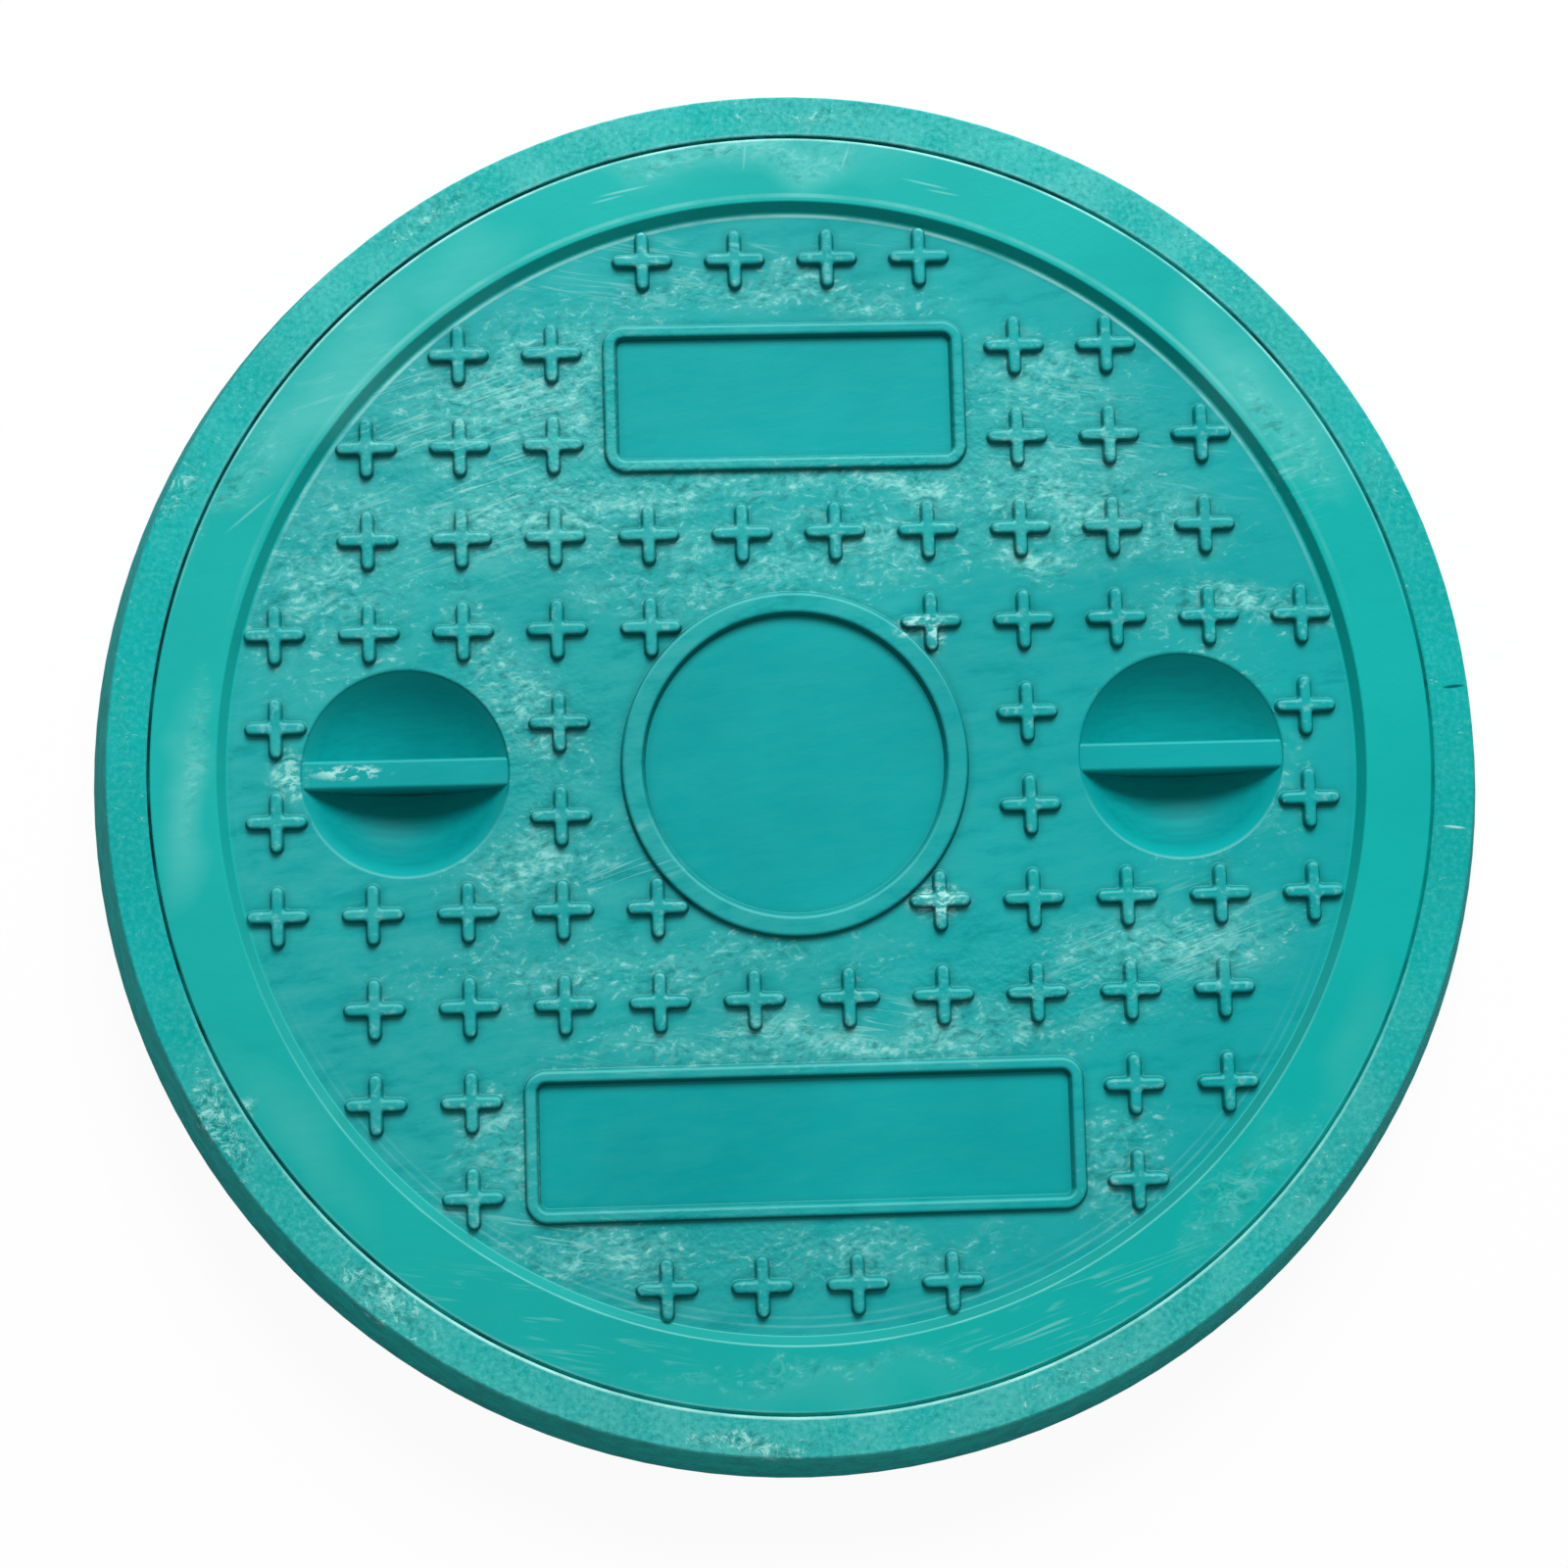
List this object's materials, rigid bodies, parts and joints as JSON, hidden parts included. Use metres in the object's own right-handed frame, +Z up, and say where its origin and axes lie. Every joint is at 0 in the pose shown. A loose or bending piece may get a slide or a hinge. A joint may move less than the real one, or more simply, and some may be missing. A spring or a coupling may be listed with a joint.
{
  "type": "access cover and frame",
  "caption": "Round moulded utility cover with raised grip crosses, lift recesses and blank marking plates, seated flush in its ring frame.",
  "frame": {"origin": "centre of the underside of the ring frame, on the surface it stands on", "axes": "+Z up along the axis of the round frame, X through the two lift recesses, +Y towards the short marking plate"},
  "size_m": [0.334, 0.334, 0.03],
  "materials": {
    "cover_resin": "satin moulded resin, scuffed and dusty",
    "frame_resin": "matt moulded resin, rough patches and scuffs"
  },
  "bodies": {
    "root": {"frame": "frame_resin", "cover": "cover_resin"}
  },
  "joints": []
}
